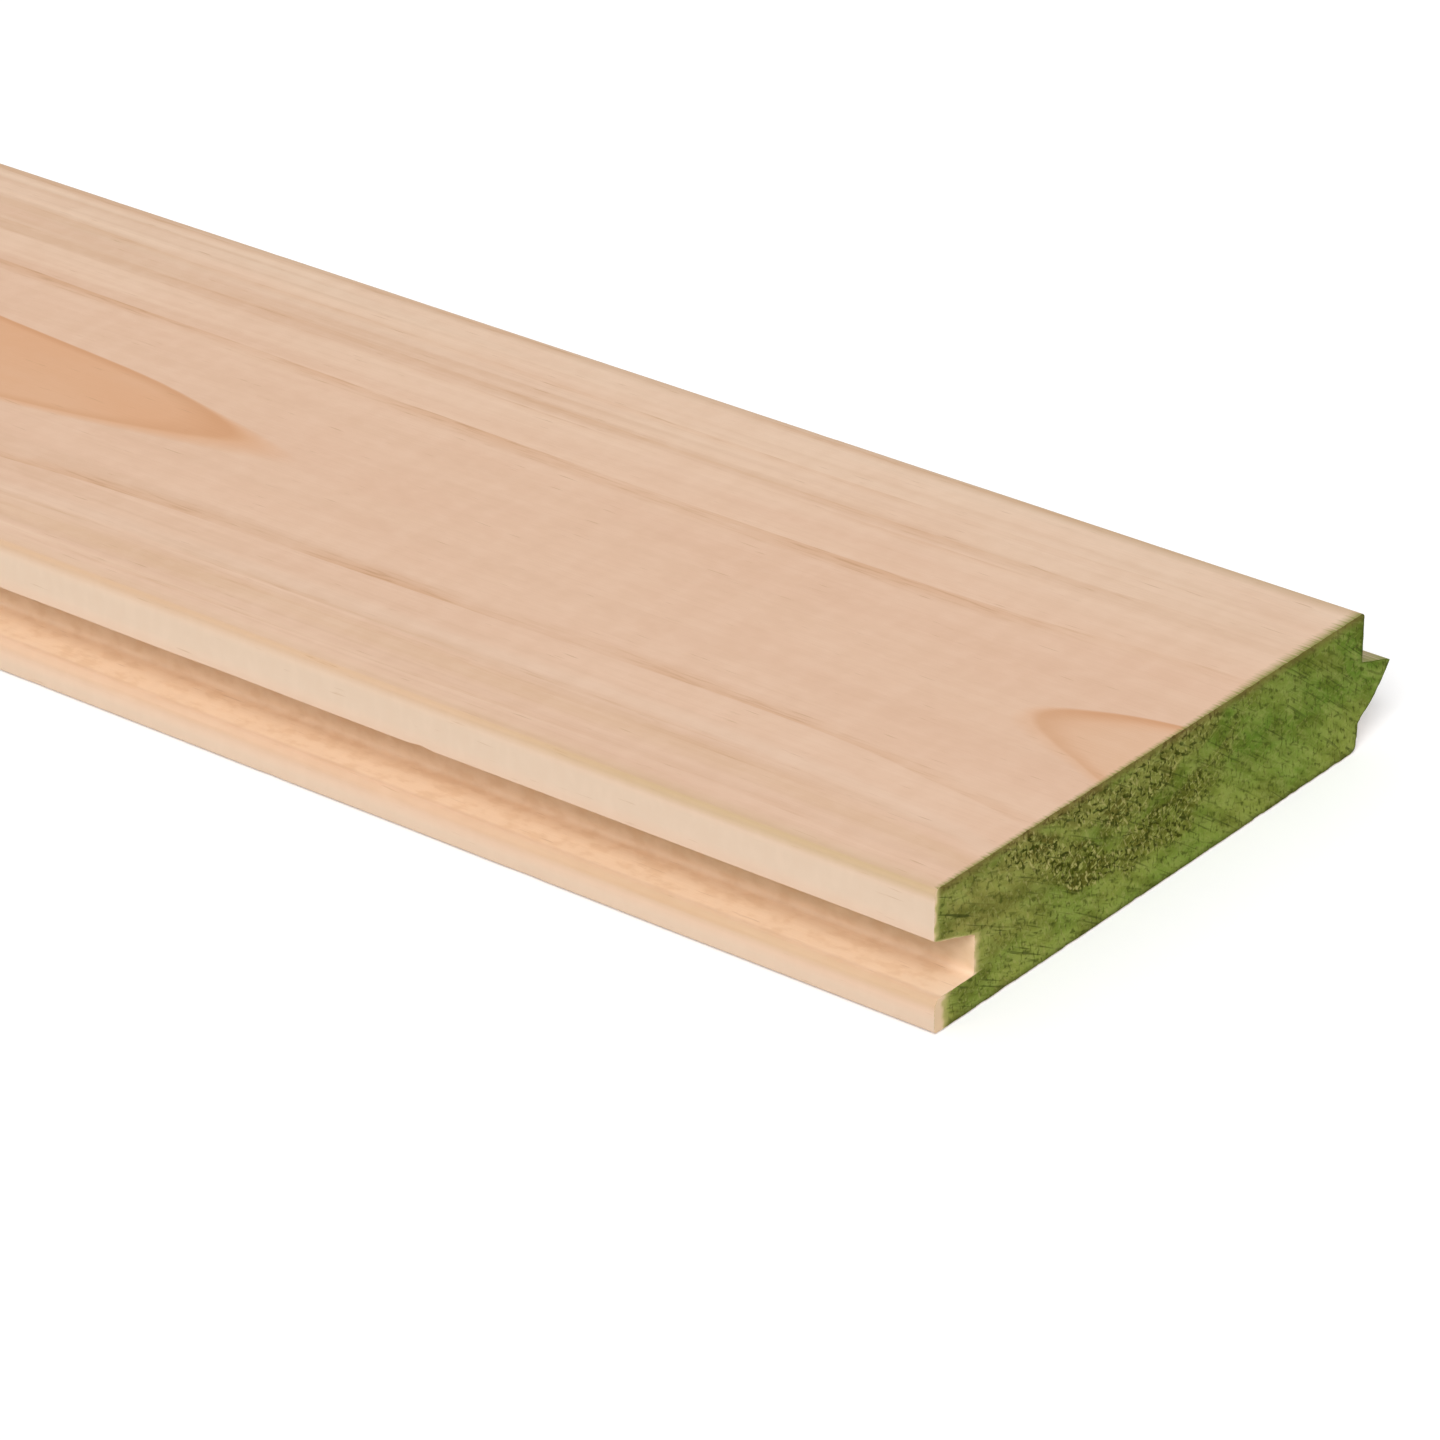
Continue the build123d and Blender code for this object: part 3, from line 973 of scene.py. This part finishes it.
def saw_marks(tree):
    """Patterns on a sawn end, along and across the arcs of the blade: how rough the wood is by how soft it
    was, and where the teeth scored it, most of all beside the groove."""
    patterns = {
        name: node(tree, "Attribute", {}, attribute_name=name).outputs["Fac"] for name in SAWN_FIELDS
    }
    place = node(tree, "CombineXYZ", {0: patterns["swing"], 1: patterns["blade"]})
    patterns |= blotches(tree, place, SAWN_PATTERNS)
    patterns["rough"] = node(tree, "MapRange", {
        "Value": patterns["soft"],
        "From Min": 0.1,
        "From Max": 0.5,
        "To Min": 0.28,
    })
    patterns["scored"] = node(tree, "MapRange", {
        "Value": patterns["here"],
        "From Min": 0.46,
        "From Max": 0.60,
        "To Max": node(tree, "MapRange", {
            "Value": patterns["swing"],
            "From Min": SCORED_SWING[0],
            "From Max": SCORED_SWING[1],
            "To Min": 0.75,
            "To Max": 0.5,
        }),
    })
    return patterns


def painted_sawn_end():
    """Green paint soaked into a sawn end: matt, dark in the torn pits, pale where fibres stand up, browner
    where the rough wood drank it, and thin at its margin, where bare wood shows."""
    material, tree = new_material("green_paint_on_sawn_end")
    _, axes = place_in_wood(tree)
    patterns = saw_marks(tree)
    patterns["across"] = axes["Y"]
    patterns["height"] = axes["Z"]
    browner = node(tree, "MapRange", {
        "Value": axes["Y"],
        "From Min": BROWNER_SIDE[0],
        "From Max": BROWNER_SIDE[1],
        "To Min": 1.0,
        "To Max": 0.4,
    })
    patterns["dry"] = node(tree, "Math", {0: patterns["rough"], 1: browner}, operation="MULTIPLY")
    patterns["brown"] = node(tree, "Math", {0: patterns["dry"], 1: 0.65}, operation="MULTIPLY")
    patterns["high"] = node(tree, "MapRange", {
        "Value": axes["Z"],
        "From Min": HIGH_ON_END[0],
        "From Max": HIGH_ON_END[1],
        "To Max": 0.22,
    })
    paint = tinted(tree, linear("8C8743"), patterns, (
        ("across", -52.0, -5.0, 1.0, "687A28"),
        ("across", 5.0, 30.0, 0.8, "627A26"),
        ("height", 14.0, 4.0, 0.66, "8E9C43"),
        ("cloud", 0.47, 0.62, 0.4, "577E22"),
        ("cloud", 0.50, 0.36, 0.4, "8A9040"),
        ("patch", 0.50, 0.62, 0.35, "5A5E1A"),
        ("patch", 0.50, 0.38, 0.35, "8C9646"),
        ("smear", 0.50, 0.64, 0.35, "525E16"),
        ("smear", 0.50, 0.36, 0.35, "8E9A4C"),
        ("soft", 0.1, 0.5, 0.5, "625E1E"),
        ("soft", 0.1, 0.5, "high", "B0AA60"),
        ("patch", 0.48, 0.58, "brown", "4C440C"),
        ("fibre", 0.55, 0.66, "rough", "949650"),
        ("hay", 0.56, 0.67, "dry", "A8A262"),
        ("fleck", 0.55, 0.64, "rough", "3A3E06"),
        ("pit", 0.55, 0.64, "rough", "343600"),
        ("stroke", 0.60, 0.70, 0.45, "3A4408"),
        ("fleck", 0.60, 0.70, 0.5, "3E480A"),
        ("pit", 0.62, 0.70, 0.6, "3E480C"),
        ("stroke", 0.42, 0.33, 0.25, "95A052"),
        ("score", 0.57, 0.66, "scored", "2E3604"),
        ("torn", 0.0, 1.0, 0.45, "303200"),
        ("height", 22.3, 24.2, 0.75, "705832"),
        ("height", 1.0, 0.0, 0.65, "3A4012"),
        ("to_tongue", 1.0, 0.0, 0.6, "3A4012"),
    ))
    edge = tinted(tree, linear("E0C2A0"), patterns, (("cover", 0.1, 0.5, 1.0, "BDB072"),))
    thick = node(tree, "MapRange", {"Value": patterns["cover"], "From Min": 0.3})
    paint = node(tree, "Mix", {"Factor": thick, "A": edge, "B": paint}, data_type="RGBA")
    rough = node(tree, "MapRange", {"Value": patterns["torn"], "To Min": 0.7, "To Max": 0.95})
    put_on_surface(tree, patterns, paint, rough, 0.04, PIT_BUMPS)
    return material


def sawn_end_grain():
    """Bare softwood across the grain: duller than the planed faces, with clear rings and saw marks. Its
    colours are lightened as painted light, for an end that the key light leaves in shadow.
    """
    material, tree = new_material("sawn_end_grain")
    place, axes = place_in_wood(tree)
    radius = growth_rings(tree, place, axes)
    patterns = saw_marks(tree)
    late = late_wood(tree, radius, *BARE_FIRST_RING, 1.0)
    for edge, depth, strength in RING_LINES:
        start = edge - BARE_RING_DEPTH * depth
        full = edge - RING_FULL
        line = late_wood(tree, radius, start, full, edge, edge + RING_EDGE, math.sqrt(strength))
        late = node(tree, "Math", {0: late, 1: line}, operation="MAXIMUM")
    patterns["late"] = late
    # Base and tints lightened: painted light on an end that the key light leaves in shadow
    wood = tinted(tree, linear("E4C49E"), patterns, (
        ("late", 0.0, 1.0, 0.8, "B58350"),
        ("pit", 0.52, 0.64, 0.5, "B48C5E"),
        ("stroke", 0.52, 0.64, 0.35, "BA9468"),
        ("stroke", 0.48, 0.36, 0.30, "EED4B0"),
        ("score", 0.58, 0.68, "scored", "AE885C"),
        ("torn", 0.0, 1.0, 0.5, "A07A4A"),
    ))
    put_on_surface(tree, patterns, wood, 0.85, 0.1, PIT_BUMPS)
    return material


def white_floor():
    """Wide square of matt white paper just under the board. To the camera alone it glows a little, so that it
    reaches white and keeps its shadow."""
    half = FLOOR_SIZE / 2 * METRE
    drop = FLOOR_DROP * METRE
    mesh = bpy.data.meshes.new("floor")
    corners = [(-half, -half, -drop), (half, -half, -drop), (half, half, -drop), (-half, half, -drop)]
    mesh.from_pydata(corners, [], [(0, 1, 2, 3)])
    material, tree = new_material("white_paper_floor")
    seen = node(tree, "LightPath", {}).outputs["Is Camera Ray"]
    shader = node(tree, "BsdfPrincipled", {
        "Base Color": linear("F4F4F4"),
        "Roughness": 0.9,
        "Specular IOR Level": 0.0,
        "Emission Color": WHITE,
        "Emission Strength": node(tree, "Math", {0: seen, 1: FLOOR_LIFT}, operation="MULTIPLY"),
    })
    node(tree, "OutputMaterial", {"Surface": shader})
    mesh.materials.append(material)
    return bpy.data.objects.new("floor", mesh)


def soft_sun(name, direction, strength, spread):
    """Wide soft sun that shines from a direction."""
    light = bpy.data.lights.new(name, "SUN")
    light.energy = strength
    light.angle = math.radians(spread)
    lamp = bpy.data.objects.new(name, light)
    lamp.rotation_euler = Vector(direction).to_track_quat("Z", "Y").to_euler()
    return lamp


def studio():
    """World that lights the board softly from all around, and is plain white to the camera and in
    reflections."""
    world = bpy.data.worlds.new("studio")
    world.use_nodes = True
    tree = world.node_tree
    tree.nodes.clear()
    path = node(tree, "LightPath", {}).outputs
    shown = node(tree, "Math", {0: path["Is Camera Ray"], 1: path["Is Glossy Ray"]}, operation="MAXIMUM")
    shown = node(tree, "Math", {0: shown, 1: path["Is Transmission Ray"]}, operation="MAXIMUM")
    strength = node(tree, "MapRange", {"Value": shown, "To Min": SKY, "To Max": 1.0})
    sky = node(tree, "Background", {"Color": WHITE, "Strength": strength})
    node(tree, "OutputWorld", {"Surface": sky})
    return world


def photo_camera():
    """Camera at the photograph's viewing angle, a distance away from its target along its own axis."""
    lens = bpy.data.cameras.new("camera")
    lens.lens = LENS
    lens.sensor_width = SENSOR
    camera = bpy.data.objects.new("camera", lens)
    target = Vector((painted_x - VIEW_FROM_END, upper_lip_y + VIEW_FROM_LIP, thickness)) * METRE
    camera.matrix_world = (
        Matrix.Translation(target)
        @ Matrix.Rotation(math.radians(VIEW_AZIMUTH), 4, "Z")
        @ Matrix.Rotation(math.radians(90.0 - VIEW_ELEVATION), 4, "X")
        @ Matrix.Rotation(math.radians(VIEW_ROLL), 4, "Z")
        @ Matrix.Translation((0.0, 0.0, VIEW_DISTANCE * METRE))
    )
    return camera


board = planed_board()
for finish in (planed_softwood(), painted_sawn_end(), sawn_end_grain()):
    board.data.materials.append(finish)
floor = white_floor()
camera = photo_camera()
key_light = soft_sun("key_light", KEY_FROM, KEY_STRENGTH, KEY_SPREAD)
top_light = soft_sun("top_light", TOP_FROM, TOP_STRENGTH, TOP_SPREAD)
for made in (board, floor, camera, key_light, top_light):
    bpy.context.collection.objects.link(made)
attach(board, "root")
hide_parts("floorboard")

scene = bpy.context.scene
scene.world = studio()
scene.camera = camera
scene.view_settings.view_transform = "Standard"
